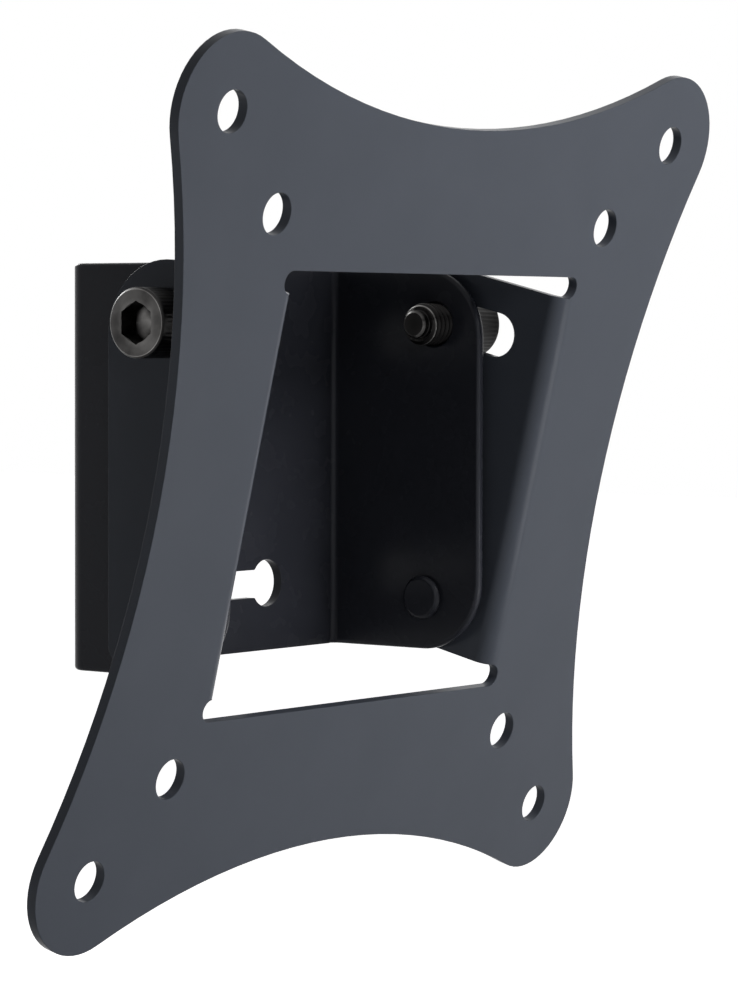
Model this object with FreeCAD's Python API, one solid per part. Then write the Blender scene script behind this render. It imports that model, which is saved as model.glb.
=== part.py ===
# Tilting wall mount for a small flat screen, in millimetres.
# The origin is the middle of the wall plate's back face, where it meets the wall.
# +Y points into the wall, +Z up, and the screen is bolted on from the -Y side.
# The mount is drawn at its full tilt, with the top of the screen plate leaning out.
import FreeCAD, Part
import math
import os

from FreeCAD import Vector

# Both folded parts are made of the same sheet.
sheet = 1.5
bend_inner = 1.0

# Screen plate, seen square on. The two hole patterns are the usual square ones.
large_pattern = 100.0
small_pattern = 75.0
screen_hole = 5.5
corner_radius = 10.0
waist = 100.0

# Window in the screen plate, and the two flanges folded back from its sides.
window_height = 60.5
relief_width = 3.1
relief_past_bend = 0.45
flange_depth_low = 18.6
flange_top_radius = 10.0
flange_foot_radius = 2.5

# Wall bracket: one sheet folded to a U, open towards the screen.
bracket_width = 58.6
bracket_height = 55.0
ear_depth = 27.6
ear_corner_radius = 10.0

# Keyhole slots in the wall plate, one above the other.
slot_rows = 35.6
slot_width = 4.0
slot_reach = 12.1
key_diameter = 6.8
key_neck_round = 0.6

# Tilt: the plate turns on the low pivots, and the lock bolts run in arced slots.
max_tilt_deg = 13.5
pivot_from_ear_foot = 7.5
pivot_from_ear_front = 9.6
pivot_behind_face = 11.6
lock_from_ear_top = 8.0
lock_from_ear_front = 8.0
lock_slot_width = 6.3

# Between each ear and its flange: a washer on the pivot, a collar round the lock bolt.
spacer = 1.0
washer_diameter = 12.0
collar_diameter = 9.0
collar_mouth_chamfer = 0.45

# Lock bolt: socket head cap screw with a short dog point.
thread_diameter = 6.0
bolt_length = 9.0
head_diameter = 9.3
head_height = 6.0
head_edge_chamfer = 0.25
socket_across = 5.0
socket_depth = 3.0
socket_mouth = 5.3
socket_cone_deg = 118.0
point_diameter = 3.9
point_length = 1.2
thread_chamfer = 0.45

# Pivot rivet: head, shoulder that the flange turns on, and a tenon formed over inside.
rivet_head_diameter = 9.0
rivet_head_height = 1.8
rivet_shoulder = 6.0
rivet_tenon = 4.5
rivet_tail_diameter = 6.3
rivet_tail_height = 1.2
rivet_head_chamfer = 0.9
rivet_tail_chamfer = 0.6

# Clearances: turning fits, faces that slide, and parts that are fixed together.
turning_clearance = 0.05
sliding_gap = 0.05
fixed_clearance = 0.02

# Overrun of a cutting shape past the faces that it cuts.
overrun = 2.0

# Two points closer than this are the same point.
same_point = 1e-6

bend_outer = bend_inner + sheet
ear_outside = bracket_width / 2
ear_inside = ear_outside - sheet
flange_inside = ear_outside + spacer + sliding_gap
flange_outside = flange_inside + sheet
bend_start = flange_inside + bend_outer
flange_half = window_height / 2 - relief_width
pivot_y = pivot_from_ear_front - ear_depth
pivot_z = pivot_from_ear_foot - bracket_height / 2
lock_y = lock_from_ear_front - ear_depth
lock_z = bracket_height / 2 - lock_from_ear_top
tilt = math.radians(max_tilt_deg)
sides = {"left": -1, "right": 1}


def rounded_wire(corners, place):
    """Closed wire through corners (u, v, radius), each rounded by an arc of that radius."""
    count = len(corners)
    edges = []
    ends = []
    for i, (u, v, radius) in enumerate(corners):
        here = Vector(u, v, 0)
        before = Vector(*corners[i - 1][:2], 0) - here
        after = Vector(*corners[(i + 1) % count][:2], 0) - here
        half_turn = before.getAngle(after) / 2
        before.normalize()
        after.normalize()
        back = radius / math.tan(half_turn)
        start = here + before * back
        finish = here + after * back
        if radius > 0:
            inward = (before + after).normalize()
            middle = here + inward * (radius / math.sin(half_turn) - radius)
            points = [place(p.x, p.y) for p in (start, middle, finish)]
            edges.append(Part.Arc(*points).toShape())
        ends.append((start, finish))
    for i in range(count):
        start = ends[i][1]
        finish = ends[(i + 1) % count][0]
        if start.distanceToPoint(finish) > same_point:
            edges.append(Part.LineSegment(place(start.x, start.y), place(finish.x, finish.y)).toShape())
    return Part.Wire(Part.__sortEdges__(edges))


def across(y, z):
    """A point of an ear's or a flange's outline, in the plane X = 0."""
    return Vector(0, y, z)


def slab(wire, along):
    """Solid made by moving the area inside a wire along a vector."""
    return Part.Face(wire).extrude(along)


def drum(radius, start_x, end_x, y=0.0, z=0.0):
    """Cylinder along X between two values of X."""
    low = min(start_x, end_x)
    return Part.makeCylinder(radius, abs(end_x - start_x), Vector(low, y, z), Vector(1, 0, 0))


def hole_through_sheet(radius, x, z):
    """Cutting cylinder along Y, through a sheet that lies near Y = 0."""
    length = 2 * (sheet + overrun)
    return Part.makeCylinder(radius, length, Vector(x, -length / 2, z), Vector(0, 1, 0))


def quarter_bend(x, y, start_angle, low, high):
    """Quarter of a ring about a vertical line: the bend between two flat parts of a sheet."""
    def ring(radius):
        return Part.makeCylinder(radius, high - low, Vector(x, y, low), Vector(0, 0, 1), 90)
    bend = ring(bend_outer).cut(ring(bend_inner))
    bend.rotate(Vector(x, y, 0), Vector(0, 0, 1), start_angle)
    return bend


def mirrored(shape):
    """The same shape on the other side of the middle plane."""
    return shape.mirror(Vector(0, 0, 0), Vector(1, 0, 0))


def plate_outline():
    """Outer edge of the screen plate: round corners joined by four hollow sides."""
    reach = large_pattern / 2
    narrow = waist / 2 - reach
    hollow = (reach ** 2 + narrow ** 2 - corner_radius ** 2) / (2 * (corner_radius - narrow))
    centre = waist / 2 + hollow
    toward = Vector(-reach, 0, centre - reach).normalize() * corner_radius
    side_end = Vector(reach + toward.x, 0, reach + toward.z)
    corner_end = Vector(reach + toward.z, 0, reach + toward.x)
    slant = corner_radius / math.sqrt(2)
    corner_middle = Vector(reach + slant, 0, reach + slant)
    hollow_start = Vector(-side_end.x, 0, side_end.z)
    edges = []
    for turn in range(4):
        side = Part.Arc(hollow_start, Vector(0, 0, waist / 2), side_end).toShape()
        corner = Part.Arc(side_end, corner_middle, corner_end).toShape()
        for edge in (side, corner):
            edge.rotate(Vector(0, 0, 0), Vector(0, 1, 0), 90 * turn)
            edges.append(edge)
    return Part.Wire(Part.__sortEdges__(edges))


def plate_window():
    """Cut for the window, with a round-ended relief slot at each end of both bends."""
    half_height = flange_half + relief_width / 2
    round_end = relief_width / 2
    relief_end = bend_start + relief_past_bend - round_end
    middle = Part.makeBox(2 * bend_start, 2 * (sheet + overrun), 2 * flange_half,
                          Vector(-bend_start, -sheet - overrun, -flange_half))
    cuts = [middle]
    for z in (-half_height, half_height):
        cuts.append(Part.makeBox(2 * relief_end, 2 * (sheet + overrun), relief_width,
                                 Vector(-relief_end, -sheet - overrun, z - round_end)))
        cuts.append(hole_through_sheet(round_end, -relief_end, z))
        cuts.append(hole_through_sheet(round_end, relief_end, z))
    return cuts[0].multiFuse(cuts[1:])


def lock_slot():
    """Arced slot about the pivot, as long as the bolt's path from upright to full tilt."""
    def at(radius, angle):
        return across(pivot_behind_face + radius * math.sin(angle),
                      pivot_z + radius * math.cos(angle))
    path = math.hypot(lock_y - pivot_y, lock_z - pivot_z)
    upright = math.atan2(lock_y - pivot_y, lock_z - pivot_z)
    full = upright + tilt
    half = lock_slot_width / 2
    past = half / path
    outer = Part.Arc(at(path + half, upright), at(path + half, (upright + full) / 2),
                     at(path + half, full))
    rear = Part.Arc(at(path + half, full), at(path, full + past), at(path - half, full))
    inner = Part.Arc(at(path - half, full), at(path - half, (upright + full) / 2),
                     at(path - half, upright))
    front = Part.Arc(at(path - half, upright), at(path, upright - past),
                     at(path + half, upright))
    wire = Part.Wire([arc.toShape() for arc in (outer, rear, inner, front)])
    return slab(wire, Vector(sheet + 2 * overrun, 0, 0))


def right_flange():
    """Flange folded back from the window's right side, in the plate's own frame.

    Its rear edge leans so that it stands parallel to the wall at full tilt.
    """
    depth_high = flange_depth_low + 2 * flange_half * math.tan(tilt)
    corners = [(bend_outer, -flange_half, 0),
               (flange_depth_low, -flange_half, flange_foot_radius),
               (depth_high, flange_half, flange_top_radius),
               (bend_outer, flange_half, 0)]
    flat = slab(rounded_wire(corners, across), Vector(sheet, 0, 0))
    flat.translate(Vector(flange_inside, 0, 0))
    bend = quarter_bend(bend_start, bend_outer, 180, -flange_half, flange_half)
    slot = lock_slot()
    slot.translate(Vector(flange_inside - overrun, 0, 0))
    pivot_hole = drum(rivet_shoulder / 2 + turning_clearance, flange_inside - overrun,
                      flange_outside + overrun, pivot_behind_face, pivot_z)
    return flat.fuse(bend).cut(slot).cut(pivot_hole)


def tilt_plate():
    """Screen plate with both flanges, one folded piece, set at full tilt on its pivots."""
    plate = slab(plate_outline(), Vector(0, sheet, 0))
    holes = [hole_through_sheet(screen_hole / 2, x * pattern / 2, z * pattern / 2)
             for pattern in (large_pattern, small_pattern)
             for x in (-1, 1) for z in (-1, 1)]
    plate = plate.cut([plate_window()] + holes)
    flange = right_flange()
    plate = plate.multiFuse([flange, mirrored(flange)]).removeSplitter()
    plate.translate(Vector(0, -pivot_behind_face, -pivot_z))
    plate.rotate(Vector(0, 0, 0), Vector(1, 0, 0), max_tilt_deg)
    plate.translate(Vector(0, pivot_y, pivot_z))
    return plate


def keyhole(z):
    """Level slot in the wall plate, with a round entry for the screw head at its right end.

    The two corners where the slot runs into the entry are rounded.
    """
    half = slot_width / 2
    entry = key_diameter / 2
    slot = Part.makeBox(2 * slot_reach, 2 * (sheet + overrun), slot_width,
                        Vector(-slot_reach, -sheet - overrun, z - half))
    cut = slot.multiFuse([hole_through_sheet(half, -slot_reach, z),
                          hole_through_sheet(entry, slot_reach, z)]).removeSplitter()
    neck = slot_reach - math.sqrt(entry ** 2 - half ** 2)
    corners = [edge for edge in cut.Edges
               if all(abs(end.X - neck) < same_point for end in edge.Vertexes)]
    return cut.makeFillet(key_neck_round, corners)


def right_ear():
    """Ear of the wall bracket with its bend, before the holes."""
    half = bracket_height / 2
    corners = [(-bend_outer, -half, 0),
               (-bend_outer, half, 0),
               (-ear_depth, half, ear_corner_radius),
               (-ear_depth, -half, ear_corner_radius)]
    flat = slab(rounded_wire(corners, across), Vector(sheet, 0, 0))
    flat.translate(Vector(ear_inside, 0, 0))
    bend = quarter_bend(ear_outside - bend_outer, -bend_outer, 0, -half, half)
    return flat.fuse(bend)


def right_collar():
    """Collar drawn out of the ear round the lock bolt's thread."""
    return drum(collar_diameter / 2, ear_outside - sheet / 2, ear_outside + spacer, lock_y, lock_z)


def right_ear_cuts():
    """Tapped hole with its chamfered mouth on the inside, and the rivet's hole."""
    thread_hole = thread_diameter / 2 + fixed_clearance
    tapped = drum(thread_hole, ear_inside - overrun, ear_outside + spacer + overrun, lock_y, lock_z)
    mouth = Part.makeCone(thread_hole + collar_mouth_chamfer, thread_hole, collar_mouth_chamfer,
                          Vector(ear_inside, lock_y, lock_z), Vector(1, 0, 0))
    tenon = drum(rivet_tenon / 2 + fixed_clearance, ear_inside - overrun,
                 ear_outside + overrun, pivot_y, pivot_z)
    return [tapped, mouth, tenon]


def wall_bracket():
    """Folded U: wall plate, two bends and two ears, with the collars and all holes."""
    flat_half = ear_outside - bend_outer
    wall_plate = Part.makeBox(2 * flat_half, sheet, bracket_height,
                              Vector(-flat_half, -sheet, -bracket_height / 2))
    ear = right_ear().fuse(right_collar())
    bracket = wall_plate.multiFuse([ear, mirrored(ear)]).removeSplitter()
    cuts = [keyhole(-slot_rows / 2), keyhole(slot_rows / 2)]
    for cut in right_ear_cuts():
        cuts += [cut, mirrored(cut)]
    return bracket.cut(cuts)


def turned(profile):
    """Solid turned about the X axis from a closed profile of (x, radius) points."""
    points = [Vector(x, 0, radius) for x, radius in profile]
    wire = Part.makePolygon(points + points[:1])
    return Part.Face(wire).revolve(Vector(0, 0, 0), Vector(1, 0, 0), 360)


def hex_socket(top):
    """Cut for the bolt's socket: hexagon, lead-in at its mouth and the drill's cone below."""
    reach = socket_across / math.sqrt(3)
    ring = [Vector(top + overrun, reach * math.sin(math.radians(60 * i)),
                   reach * math.cos(math.radians(60 * i))) for i in range(7)]
    hexagon = slab(Part.makePolygon(ring), Vector(-socket_depth - overrun, 0, 0))
    inner = socket_across / 2
    mouth = turned([(top, 0), (top, socket_mouth / 2), (top + inner - socket_mouth / 2, inner),
                    (top + inner - socket_mouth / 2, 0)])
    floor = top - socket_depth
    cone = turned([(floor, 0), (floor, inner),
                   (floor - inner / math.tan(math.radians(socket_cone_deg / 2)), 0)])
    return [hexagon, mouth, cone]


def right_lock_bolt():
    """Socket head cap screw that clamps the flange against the ear's collar."""
    seat = flange_outside + sliding_gap
    top = seat + head_height
    tip = seat - bolt_length
    thread_end = tip + point_length
    shank = thread_diameter / 2
    bolt = turned([(top, 0),
                   (top, head_diameter / 2 - head_edge_chamfer),
                   (top - head_edge_chamfer, head_diameter / 2),
                   (seat, head_diameter / 2),
                   (seat, shank),
                   (thread_end + thread_chamfer, shank),
                   (thread_end, shank - thread_chamfer),
                   (thread_end, point_diameter / 2),
                   (tip, point_diameter / 2),
                   (tip, 0)])
    bolt = bolt.cut(hex_socket(top))
    bolt.translate(Vector(0, lock_y, lock_z))
    return bolt


def right_pivot_rivet():
    """Shouldered rivet: fixed in the ear, with the flange free to turn on its shoulder."""
    seat = flange_outside + sliding_gap
    top = seat + rivet_head_height
    tail = ear_inside - rivet_tail_height
    head = rivet_head_diameter / 2
    formed = rivet_tail_diameter / 2
    rivet = turned([(top, 0),
                    (top, head - rivet_head_chamfer),
                    (top - rivet_head_chamfer, head),
                    (seat, head),
                    (seat, rivet_shoulder / 2),
                    (ear_outside, rivet_shoulder / 2),
                    (ear_outside, rivet_tenon / 2),
                    (ear_inside, rivet_tenon / 2),
                    (ear_inside, formed),
                    (tail + rivet_tail_chamfer, formed),
                    (tail, formed - rivet_tail_chamfer),
                    (tail, 0)])
    rivet.translate(Vector(0, pivot_y, pivot_z))
    return rivet


def right_pivot_washer():
    """Flat washer on the rivet's shoulder, between ear and flange."""
    disc = drum(washer_diameter / 2, ear_outside, ear_outside + spacer, pivot_y, pivot_z)
    bore = drum(rivet_shoulder / 2 + fixed_clearance, ear_outside - overrun,
                ear_outside + spacer + overrun, pivot_y, pivot_z)
    return disc.cut(bore)


def build():
    """All pieces by node name."""
    pieces = {"wall_bracket": wall_bracket(), "tilt_plate": tilt_plate()}
    small = {"lock_bolt": right_lock_bolt(),
             "pivot_rivet": right_pivot_rivet(),
             "pivot_washer": right_pivot_washer()}
    for side, sign in sides.items():
        for name, shape in small.items():
            pieces[side + "_" + name] = shape if sign > 0 else mirrored(shape)
    return pieces


os.makedirs("parts", exist_ok=True)
for node, shape in build().items():
    shape.exportStep("parts/" + node + ".step")
    print(node, "solids", len(shape.Solids), "valid", shape.isValid(), "volume", round(shape.Volume, 1))
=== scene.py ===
import math

import bmesh
import bpy
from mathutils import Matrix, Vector


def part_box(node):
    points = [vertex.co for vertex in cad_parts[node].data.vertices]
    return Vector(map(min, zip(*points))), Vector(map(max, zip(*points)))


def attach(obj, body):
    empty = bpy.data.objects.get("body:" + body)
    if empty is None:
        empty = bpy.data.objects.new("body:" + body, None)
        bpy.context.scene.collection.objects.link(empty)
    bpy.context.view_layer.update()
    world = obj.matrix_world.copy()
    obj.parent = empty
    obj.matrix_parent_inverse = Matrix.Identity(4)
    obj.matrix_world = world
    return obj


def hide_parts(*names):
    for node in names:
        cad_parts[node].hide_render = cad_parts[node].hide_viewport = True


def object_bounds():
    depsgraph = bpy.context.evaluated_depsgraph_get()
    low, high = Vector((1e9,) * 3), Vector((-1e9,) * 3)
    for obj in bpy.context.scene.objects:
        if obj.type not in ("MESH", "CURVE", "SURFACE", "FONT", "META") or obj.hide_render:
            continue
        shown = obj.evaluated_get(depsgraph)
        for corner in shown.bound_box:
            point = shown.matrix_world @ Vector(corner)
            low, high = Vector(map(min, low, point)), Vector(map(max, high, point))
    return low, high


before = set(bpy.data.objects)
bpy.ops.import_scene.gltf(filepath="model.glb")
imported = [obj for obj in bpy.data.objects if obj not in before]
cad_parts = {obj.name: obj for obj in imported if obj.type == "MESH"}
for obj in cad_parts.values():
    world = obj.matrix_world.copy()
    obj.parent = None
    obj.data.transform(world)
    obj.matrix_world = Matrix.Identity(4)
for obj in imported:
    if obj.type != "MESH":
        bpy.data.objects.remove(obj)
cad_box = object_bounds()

# Looks of a small tilting wall mount: two coated folded sheets, two lock bolts, two rivets and
# their washers. Lengths are in metres, in the frame's own axes. Colours are linear.
mm = 0.001
white = (1, 1, 1, 1)

# Camera, solved from the eight screen holes of the photo.
camera_place = (-0.40109, -0.33167, 0.01863)
camera_turn_deg = (87.4015, -0.1872, -52.9548)
camera_lens = 133.131
camera_near = 0.01
camera_far = 20

# A noise mostly stays between these two values. Its scale is about its patches along a metre.
noise_low = 0.3
noise_high = 0.7
fine_grain = 0.01 * mm

# Powder coats.
plate_dark = (0.0855, 0.0955, 0.118, 1)
plate_light = (0.0905, 0.1005, 0.124, 1)
plate_roughness = (0.22, 0.27)
plate_gloss = 0.09
bracket_dark = (0.032, 0.034, 0.043, 1)
bracket_light = (0.037, 0.039, 0.049, 1)
bracket_roughness = (0.24, 0.29)
bracket_gloss = 0.10
coat_tone_scale = 90
coat_roughness_scale = 260
coat_peel_scale = 1500
coat_peel_strength = 0.10
coat_peel_height = 0.02 * mm

# Black oxide. Where it is worn off, and where highlights are painted on, it goes bright in
# patches.
oxide_dark = (0.015, 0.0145, 0.0145, 1)
oxide_worn_and_highlight = (0.42, 0.41, 0.40, 1)
oxide_roughness = (0.30, 0.46)
oxide_roughness_scale = 700
oxide_grain_scale = 2600
oxide_grain_strength = 0.15
patch_scale = 260
patch_detail = 6.0
patch_least = 0.1
patch_most = 1.5

# Black nylon.
nylon_dark = (0.020, 0.020, 0.021, 1)
nylon_light = (0.030, 0.030, 0.032, 1)
nylon_roughness = (0.5, 0.6)
nylon_gloss = 0.3
nylon_tone_scale = 400
nylon_roughness_scale = 800
nylon_grain_scale = 1800
nylon_grain_strength = 0.1

# Rounding of the cut edges under the coat. The outer edges of the bracket's ears, further from
# the middle than ear_zone and further from their holes than hole_zone, are rounded the most.
sheet_edge = 0.09 * mm
ear_edge = 0.55 * mm
ear_zone = 27 * mm
hole_zone = 6 * mm
small_edge = 0.15 * mm
rivet_edge = 0.4 * mm
edge_segments = 3
edge_profile = 0.5
edge_angle = math.radians(40)
flat_angle = math.radians(0.2)
weld_distance = 0.001 * mm
smallest_face = 0.2 * mm * mm

# Lock bolt: an M6 socket head cap screw with a short dog point.
pitch = 1.0 * mm
thread_depth = 0.541 * mm
thread_radius = 3.0 * mm
thread_chamfer = 0.45 * mm
point_radius = 1.95 * mm
point_length = 1.2 * mm
point_chamfer = 0.3 * mm
point_rim = 0.05 * mm
point_neck = 0.1 * mm
head_height = 6.0 * mm
head_chamfer = 0.25 * mm
head_rim = 0.06 * mm
face_rim = 0.1 * mm
knurl_depth = 0.08 * mm
knurl_teeth = 48
knurl_margin = 0.7 * mm
knurl_runout = 0.3 * mm
socket_flat = 2.5 * mm
socket_corner = socket_flat / math.cos(math.radians(30))
socket_border = 1.15
socket_depth = 3.0 * mm
socket_mouth = 2.65 * mm
mouth_step = 0.04 * mm
mouth_steps = 4
drill_cone_deg = 118
cone_steps = 4
sharp_angle = math.radians(38)

# Grid of the bolt's mesh, and where the thread's crest and root lie along one pitch.
columns = 192
rows_per_pitch = 16
crest_end = 2 / rows_per_pitch
root_start = 7 / rows_per_pitch
root_end = 11 / rows_per_pitch

# Wear of the oxide, from 0 for none to 1 for bare steel, in places standing in for light. The
# crests of the first turns are bright as worn burrs and as a painted highlight, and fade to dark
# oxide further in as painted shade.
crest_wear_and_highlight = 0.7
crest_fade_turns = 1.3
neck_wear = 0.1
point_face_wear = 0.02
# The dog point's end rim is painted bright: partly wear, partly a painted highlight.
point_rim_wear_and_highlight = 0.25
point_corner_wear = 0.12
point_side_wear = 0.04
corner_wear = 0.02
near_rim_wear = 0.1
# The head's rim line is partly worn steel and partly a painted highlight.
rim_wear_and_highlight = 0.6
face_wear = 0.13
socket_rim_wear = 0.2
socket_mouth_wear = 0.1
socket_wall_wear = 0.04
socket_floor_wear = 0.02
drill_cone_wear = 0.25

# Fill light from all round.
ambient = 0.045

# Floor. It glows from floor_glow_near to floor_glow_far between two distances from its middle.
floor_dark = (0.8118, 0.8118, 0.8118, 1)
floor_pale = (0.82, 0.82, 0.82, 1)
floor_tone_scale = 30
floor_gloss = 0.1
floor_roughness = 0.8
floor_glow_near = 0.25
floor_glow_far = 1.0
floor_fade_start = 0.12
floor_fade_end = 0.42
floor_drop = 0.1
floor_reach = 3.0


def noise(tree, scale, detail=2.0):
    """Noise fixed to the surface."""
    place = tree.nodes.new("ShaderNodeTexCoord")
    texture = tree.nodes.new("ShaderNodeTexNoise")
    texture.inputs["Scale"].default_value = scale
    texture.inputs["Detail"].default_value = detail
    tree.links.new(place.outputs["Object"], texture.inputs["Vector"])
    return texture.outputs[0]


def between(tree, value, low, high, value_low=noise_low, value_high=noise_high):
    """A value carried over to the span from low to high."""
    span = tree.nodes.new("ShaderNodeMapRange")
    span.inputs["From Min"].default_value = value_low
    span.inputs["From Max"].default_value = value_high
    span.inputs["To Min"].default_value = low
    span.inputs["To Max"].default_value = high
    tree.links.new(value, span.inputs["Value"])
    return span.outputs["Result"]


def blended(tree, value, dark, light, value_low=noise_low, value_high=noise_high):
    """A colour that runs from dark to light with a value."""
    ramp = tree.nodes.new("ShaderNodeValToRGB")
    ramp.color_ramp.elements[0].position = value_low
    ramp.color_ramp.elements[0].color = dark
    ramp.color_ramp.elements[1].position = value_high
    ramp.color_ramp.elements[1].color = light
    tree.links.new(value, ramp.inputs["Fac"])
    return ramp.outputs["Color"]


def times(tree, one, other):
    """The product of two values."""
    product = tree.nodes.new("ShaderNodeMath")
    product.operation = "MULTIPLY"
    tree.links.new(one, product.inputs[0])
    tree.links.new(other, product.inputs[1])
    return product.outputs["Value"]


def bumped(tree, shader, height, strength, distance):
    """Fine relief from a value."""
    bump = tree.nodes.new("ShaderNodeBump")
    bump.inputs["Strength"].default_value = strength
    bump.inputs["Distance"].default_value = distance
    tree.links.new(height, bump.inputs["Height"])
    tree.links.new(bump.outputs["Normal"], shader.inputs["Normal"])


def new_material(name):
    """A node material, its tree and its principled shader."""
    material = bpy.data.materials.new(name)
    material.use_nodes = True
    tree = material.node_tree
    return material, tree, tree.nodes["Principled BSDF"]


def powder_coat(name, dark, light, roughness, gloss):
    """Satin powder coat: a faint orange peel, and slight changes of tone and roughness."""
    material, tree, shader = new_material(name)
    shader.inputs["Specular IOR Level"].default_value = gloss
    tone = blended(tree, noise(tree, coat_tone_scale), dark, light)
    tree.links.new(tone, shader.inputs["Base Color"])
    rough = between(tree, noise(tree, coat_roughness_scale), *roughness)
    tree.links.new(rough, shader.inputs["Roughness"])
    bumped(tree, shader, noise(tree, coat_peel_scale), coat_peel_strength, coat_peel_height)
    return material


def black_oxide():
    """Blackened steel, bright where the mesh marks wear and painted highlights."""
    material, tree, shader = new_material("black_oxide_steel")
    shader.inputs["Metallic"].default_value = 1.0
    wear_and_highlight = tree.nodes.new("ShaderNodeAttribute")
    wear_and_highlight.attribute_name = "wear_and_highlight"
    patches = between(tree, noise(tree, patch_scale, patch_detail), patch_least, patch_most)
    worn_and_highlit = times(tree, wear_and_highlight.outputs["Fac"], patches)
    tone = blended(tree, worn_and_highlit, oxide_dark, oxide_worn_and_highlight, value_low=0.0, value_high=1.0)
    tree.links.new(tone, shader.inputs["Base Color"])
    rough = between(tree, noise(tree, oxide_roughness_scale), *oxide_roughness)
    tree.links.new(rough, shader.inputs["Roughness"])
    bumped(tree, shader, noise(tree, oxide_grain_scale), oxide_grain_strength, fine_grain)
    return material


def black_nylon():
    """Moulded black nylon."""
    material, tree, shader = new_material("black_nylon")
    shader.inputs["Specular IOR Level"].default_value = nylon_gloss
    tone = blended(tree, noise(tree, nylon_tone_scale), nylon_dark, nylon_light)
    tree.links.new(tone, shader.inputs["Base Color"])
    rough = between(tree, noise(tree, nylon_roughness_scale), *nylon_roughness)
    tree.links.new(rough, shader.inputs["Roughness"])
    bumped(tree, shader, noise(tree, nylon_grain_scale), nylon_grain_strength, fine_grain)
    return material


def smooth_mesh(bm, name):
    """A mesh made from finished bmesh data, with smooth faces."""
    for face in bm.faces:
        face.smooth = True
    mesh = bpy.data.meshes.new(name)
    bm.to_mesh(mesh)
    bm.free()
    return mesh


def place_piece(mesh, name, body, material, node):
    """Put a finished mesh in the scene as the piece that stands for a node."""
    piece = bpy.data.objects.new(name, mesh)
    bpy.context.scene.collection.objects.link(piece)
    mesh.materials.append(material)
    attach(piece, body)
    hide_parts(node)
    return piece


def is_cut_edge(edge):
    """True for an outer edge of the sheet, and not for a step too small to round."""
    if not edge.is_convex or edge.calc_face_angle() <= edge_angle:
        return False
    return min(face.calc_area() for face in edge.link_faces) > smallest_face


def ear_edges(bm):
    """Outer edges of the bracket's ears, away from their holes."""
    axes = [sum(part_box(node), Vector()) / 2 for node in ("right_lock_bolt", "right_pivot_rivet")]

    def is_outer(edge):
        middle = (edge.verts[0].co + edge.verts[1].co) / 2
        clear = all((middle - axis).yz.length > hole_zone for axis in axes)
        return clear and abs(middle.x) > ear_zone

    return [edge for edge in bm.edges if is_outer(edge) and is_cut_edge(edge)]


def round_edges(bm, edges, radius):
    """Round some edges of a mesh."""
    bmesh.ops.bevel(bm, geom=edges, offset=radius, offset_type="OFFSET", affect="EDGES",
                    segments=edge_segments, profile=edge_profile, clamp_overlap=False,
                    loop_slide=True)


def rounded_copy(node, name, body, material, radius, ear_radius=0):
    """Dress a node in a copy of its mesh with rounded cut edges, as they are under a coat."""
    bm = bmesh.new()
    bm.from_mesh(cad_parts[node].data)
    bmesh.ops.remove_doubles(bm, verts=bm.verts[:], dist=weld_distance)
    bmesh.ops.dissolve_limit(bm, angle_limit=flat_angle, verts=bm.verts[:], edges=bm.edges[:])
    if ear_radius > 0:
        round_edges(bm, ear_edges(bm), ear_radius)
    round_edges(bm, [edge for edge in bm.edges if is_cut_edge(edge)], radius)
    mesh = smooth_mesh(bm, name)
    if "custom_normal" in mesh.attributes:
        mesh.attributes.remove(mesh.attributes["custom_normal"])
    piece = place_piece(mesh, name, body, material, node)
    shading = piece.modifiers.new("flat_faces", "WEIGHTED_NORMAL")
    shading.keep_sharp = True


def thread_height(phase):
    """Radius of the thread at a share of its pitch: crest, flank, root, flank."""
    if phase < crest_end:
        fall = 0
    elif phase < root_start:
        fall = (phase - crest_end) / (root_start - crest_end)
    elif phase < root_end:
        fall = 1
    else:
        fall = (1 - phase) / (1 - root_end)
    return thread_radius - thread_depth * fall


def thread_point(x, turn, start):
    """Radius of the thread at a place x and a share of a turn. Its chamfer begins at start."""
    chamfer = thread_radius - thread_chamfer + (x - start)
    return min(thread_height((x / pitch - turn) % 1), chamfer)


def hexagon(turn):
    """Distance from the middle to the socket's wall, with corners at the top and foot."""
    angle = math.radians((360 * turn - 90) % 60 - 30)
    return socket_flat / math.cos(angle)


def knurl(turn):
    """How far the head's side falls back between two ridges."""
    return knurl_depth * (0.5 - 0.5 * math.cos(math.tau * knurl_teeth * turn))


def bolt_vertex(bm, wear_and_highlight_layer, x, radius, turn, wear_and_highlight):
    """A vertex of the bolt, given along its axis and round it."""
    angle = math.tau * turn
    vertex = bm.verts.new((x, radius * math.cos(angle), radius * math.sin(angle)))
    vertex[wear_and_highlight_layer] = wear_and_highlight
    return vertex


def bolt_ring(bm, wear_and_highlight_layer, x, radius_at, wear_and_highlight):
    """One ring of vertices round the bolt. radius_at gives the radius at a share of a turn."""
    return [bolt_vertex(bm, wear_and_highlight_layer, x, radius_at(j / columns), j / columns, wear_and_highlight)
            for j in range(columns)]


def join_rings(bm, rings):
    """Faces between rings that follow each other."""
    for low, high in zip(rings, rings[1:]):
        for j in range(columns):
            k = (j + 1) % columns
            bm.faces.new((low[j], high[j], high[k], low[k]))


def point_rings(bm, layer):
    """Dog point, from the middle of its end to the start of the thread."""
    rings = []
    end_radius = point_radius - point_chamfer

    def plain(x, radius, wear_and_highlight=0.0):
        rings.append(bolt_ring(bm, layer, x, lambda turn: radius, wear_and_highlight))

    plain(0, 0)
    plain(0, end_radius - point_rim, point_face_wear)
    # The end's rim is painted bright: partly wear, partly a painted highlight.
    plain(0, end_radius, point_rim_wear_and_highlight)
    plain(point_chamfer, point_radius, point_corner_wear)
    plain(point_chamfer + point_neck, point_radius, point_side_wear)
    plain(point_length - point_neck, point_radius, point_side_wear)
    plain(point_length, point_radius + point_neck)
    rings.append(bolt_ring(bm, layer, point_length,
                           lambda turn: thread_point(point_length, turn, point_length),
                           neck_wear))
    return rings


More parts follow.
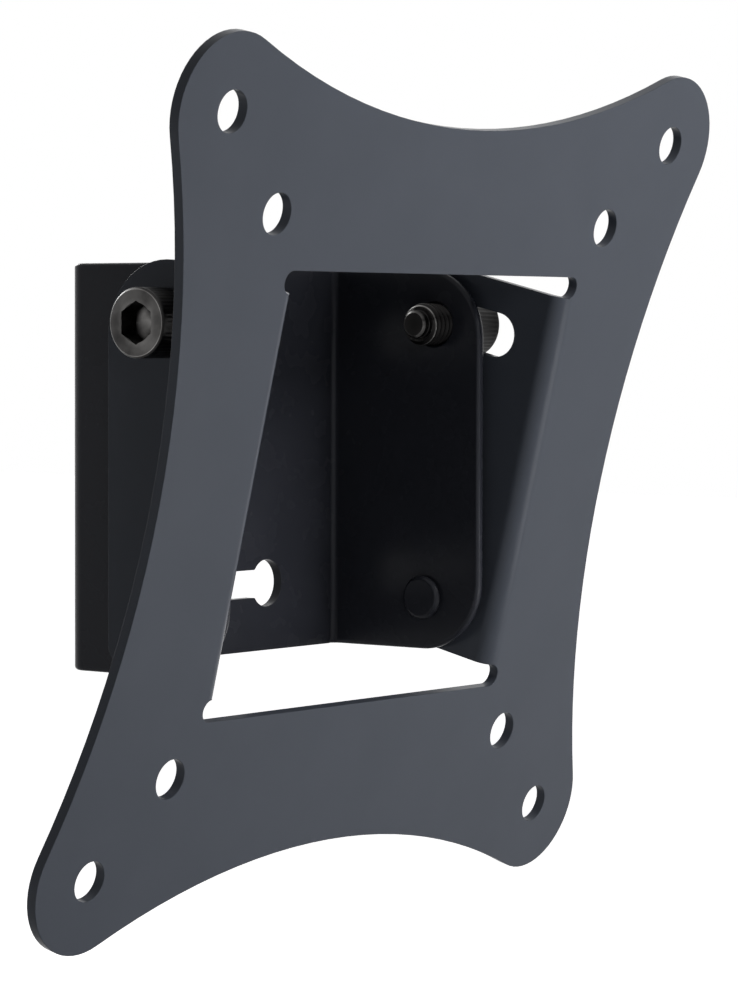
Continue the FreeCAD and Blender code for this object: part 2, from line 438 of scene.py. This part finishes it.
def thread_rows(bm, layer, start, end):
    """The helical thread, on a grid whose rows run along the helix."""
    row_count = math.ceil((end - start) / pitch + 2) * rows_per_pitch
    rows = []
    for k in range(row_count + 1):
        row = []
        for j in range(columns):
            turn = j / columns
            x = start + pitch * (k / rows_per_pitch + turn - 1)
            x = min(max(x, start), end)
            phase = (x / pitch - turn) % 1
            # The first crests are painted bright, as wear and as a painted highlight; further in
            # they fade to dark as painted shade.
            highlight_fade = max(0.0, 1 - (x - start) / (crest_fade_turns * pitch))
            wear_and_highlight = crest_wear_and_highlight * highlight_fade if phase <= crest_end else 0.0
            row.append(bolt_vertex(bm, layer, x, thread_point(x, turn, start), turn, wear_and_highlight))
        rows.append(row)
    for k in range(row_count):
        for j in range(columns):
            low_next, high_next = k, k + 1
            if j + 1 == columns:
                low_next += rows_per_pitch
                high_next += rows_per_pitch
            if high_next <= row_count:
                i = (j + 1) % columns
                bm.faces.new((rows[k][j], rows[k + 1][j], rows[high_next][i], rows[low_next][i]))


def head_rings(bm, layer, seat, top, head_radius):
    """Head, from the end of the thread round to the middle of the socket's floor."""
    rings = [bolt_ring(bm, layer, seat, lambda turn: thread_point(seat, turn, 0), 0.0)]
    under = head_radius - head_chamfer
    knurl_start = seat + knurl_margin
    knurl_end = top - knurl_margin
    socket_floor = top - socket_depth
    cone_depth = socket_flat / math.tan(math.radians(drill_cone_deg / 2))

    def plain(x, radius, wear_and_highlight=0.0):
        rings.append(bolt_ring(bm, layer, x, lambda turn: radius, wear_and_highlight))

    def knurled(x):
        rings.append(bolt_ring(bm, layer, x, lambda turn: head_radius - knurl(turn), 0.0))

    def socket(depth, wear_and_highlight):
        rings.append(bolt_ring(bm, layer, top - depth,
                               lambda turn: max(socket_mouth - depth, hexagon(turn)), wear_and_highlight))

    plain(seat, under, corner_wear)
    plain(seat + head_chamfer, head_radius)
    plain(knurl_start, head_radius)
    knurled(knurl_start + knurl_runout)
    knurled(knurl_end - knurl_runout)
    plain(knurl_end, head_radius)
    plain(top - head_chamfer, head_radius, corner_wear)
    plain(top - head_rim, under + head_rim, near_rim_wear)
    # The rim's bright line is partly wear and partly a painted highlight.
    plain(top, under, rim_wear_and_highlight)
    plain(top, under - face_rim, face_wear)
    plain(top, socket_border * socket_corner, face_wear)
    socket(0, socket_rim_wear)
    for step in range(mouth_steps):
        socket(mouth_step * (step + 1), socket_mouth_wear)
    socket(socket_depth, socket_wall_wear)
    plain(socket_floor, socket_flat, socket_floor_wear)
    for step in range(cone_steps):
        share = (step + 1) / cone_steps
        plain(socket_floor - cone_depth * share, socket_flat * (1 - share), drill_cone_wear)
    return rings


def lock_bolt(side, sign, material):
    """Socket head cap screw with its thread, knurled head and dog point."""
    node = side + "_lock_bolt"
    name = node + "_turned"
    low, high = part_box(node)
    middle = (low + high) / 2
    length = high.x - low.x
    seat = length - head_height
    bm = bmesh.new()
    layer = bm.verts.layers.float.new("wear_and_highlight")
    join_rings(bm, point_rings(bm, layer))
    thread_rows(bm, layer, point_length, seat)
    join_rings(bm, head_rings(bm, layer, seat, length, (high.z - low.z) / 2))
    bmesh.ops.remove_doubles(bm, verts=bm.verts[:], dist=weld_distance)
    bmesh.ops.recalc_face_normals(bm, faces=bm.faces[:])
    for vertex in bm.verts:
        along, across, up = vertex.co
        vertex.co = (middle.x + sign * (along - length / 2), middle.y + sign * across,
                     middle.z + up)
    mesh = smooth_mesh(bm, name)
    mesh.set_sharp_from_angle(angle=sharp_angle)
    place_piece(mesh, name, "wall_side", material, node)


def camera():
    """Camera at the photo's viewpoint."""
    data = bpy.data.cameras.new("camera")
    data.lens = camera_lens
    data.clip_start = camera_near
    data.clip_end = camera_far
    viewer = bpy.data.objects.new("camera", data)
    viewer.location = camera_place
    viewer.rotation_euler = [math.radians(angle) for angle in camera_turn_deg]
    bpy.context.scene.collection.objects.link(viewer)
    bpy.context.scene.camera = viewer


def soft_box(name, place, power, width, height):
    """Rectangular soft light at a place, facing the mount."""
    data = bpy.data.lights.new(name, "AREA")
    data.shape = "RECTANGLE"
    data.size = width
    data.size_y = height
    data.energy = power
    lamp = bpy.data.objects.new(name, data)
    lamp.location = place
    lamp.rotation_mode = "QUATERNION"
    away = lamp.location - (cad_box[0] + cad_box[1]) / 2
    lamp.rotation_quaternion = away.to_track_quat("Z", "Y")
    bpy.context.scene.collection.objects.link(lamp)


def any_of(tree, values):
    """The largest of several values."""
    result = values[0]
    for value in values[1:]:
        larger = tree.nodes.new("ShaderNodeMath")
        larger.operation = "MAXIMUM"
        tree.links.new(result, larger.inputs[0])
        tree.links.new(value, larger.inputs[1])
        result = larger.outputs["Value"]
    return result


def seen_or_mirrored(tree):
    """1 for what the camera sees straight, in gloss or through glass, and 0 for other light."""
    path = tree.nodes.new("ShaderNodeLightPath")
    return any_of(tree, [path.outputs[kind] for kind in
                         ("Is Camera Ray", "Is Glossy Ray", "Is Transmission Ray")])


def surroundings():
    """White all round where it is seen, and a soft fill light elsewhere."""
    world = bpy.data.worlds.new("studio")
    bpy.context.scene.world = world
    world.use_nodes = True
    tree = world.node_tree
    background = tree.nodes["Background"]
    background.inputs["Color"].default_value = white
    strength = between(tree, seen_or_mirrored(tree), ambient, 1.0, value_low=0.0, value_high=1.0)
    tree.links.new(strength, background.inputs["Strength"])


def floor_finish():
    """Pale floor that keeps the mount's shadow and fades to white further out."""
    material, tree, shader = new_material("pale_floor")
    shader.inputs["Specular IOR Level"].default_value = floor_gloss
    shader.inputs["Roughness"].default_value = floor_roughness
    tone = blended(tree, noise(tree, floor_tone_scale), floor_dark, floor_pale)
    tree.links.new(tone, shader.inputs["Base Color"])
    place = tree.nodes.new("ShaderNodeTexCoord")
    distance = tree.nodes.new("ShaderNodeVectorMath")
    distance.operation = "LENGTH"
    tree.links.new(place.outputs["Object"], distance.inputs[0])
    glow = between(tree, distance.outputs["Value"], floor_glow_near, floor_glow_far,
                   floor_fade_start, floor_fade_end)
    shader.inputs["Emission Color"].default_value = white
    tree.links.new(times(tree, glow, seen_or_mirrored(tree)), shader.inputs["Emission Strength"])
    return material


def floor():
    """Plain pale floor below the mount, which hangs clear of it."""
    low, high = cad_box
    mesh = bpy.data.meshes.new("floor")
    bm = bmesh.new()
    bmesh.ops.create_grid(bm, x_segments=1, y_segments=1, size=floor_reach)
    bm.to_mesh(mesh)
    bm.free()
    mesh.materials.append(floor_finish())
    ground = bpy.data.objects.new("floor", mesh)
    ground.location = ((low.x + high.x) / 2, (low.y + high.y) / 2, low.z - floor_drop)
    bpy.context.scene.collection.objects.link(ground)


def dress_mount():
    """Every piece of the mount, in its finish."""
    plate_coat = powder_coat("plate_powder_coat", plate_dark, plate_light, plate_roughness,
                             plate_gloss)
    bracket_coat = powder_coat("bracket_powder_coat", bracket_dark, bracket_light,
                               bracket_roughness, bracket_gloss)
    steel = black_oxide()
    nylon = black_nylon()
    rounded_copy("tilt_plate", "tilt_plate_coated", "screen_side",
                 plate_coat, sheet_edge)
    rounded_copy("wall_bracket", "wall_bracket_coated", "wall_side",
                 bracket_coat, sheet_edge, ear_edge)
    for side, sign in (("left", -1), ("right", 1)):
        lock_bolt(side, sign, steel)
        rounded_copy(side + "_pivot_rivet", side + "_pivot_rivet_coated", "wall_side",
                     bracket_coat, rivet_edge)
        rounded_copy(side + "_pivot_washer", side + "_pivot_washer_moulded", "wall_side",
                     nylon, small_edge)


def light_studio():
    """Plain soft light: five lamps in front, low, high and to both sides, and one behind."""
    soft_box("key", (0.06, -0.40, -0.11), power=0.18, width=0.06, height=0.22)
    soft_box("low", (0.16, -0.35, -0.13), power=0.19, width=0.20, height=0.06)
    soft_box("upper", (0.06, -0.23, 0.14), power=0.24, width=0.10, height=0.10)
    soft_box("right", (0.36, -0.60, -0.02), power=0.34, width=0.14, height=0.14)
    soft_box("side", (-0.45, -0.60, 0.20), power=0.32, width=0.15, height=0.15)
    soft_box("back", (0.25, 0.50, 0.25), power=1.3, width=0.24, height=0.24)


camera()
surroundings()
light_studio()
floor()
dress_mount()
bpy.context.scene.view_settings.view_transform = "Standard"
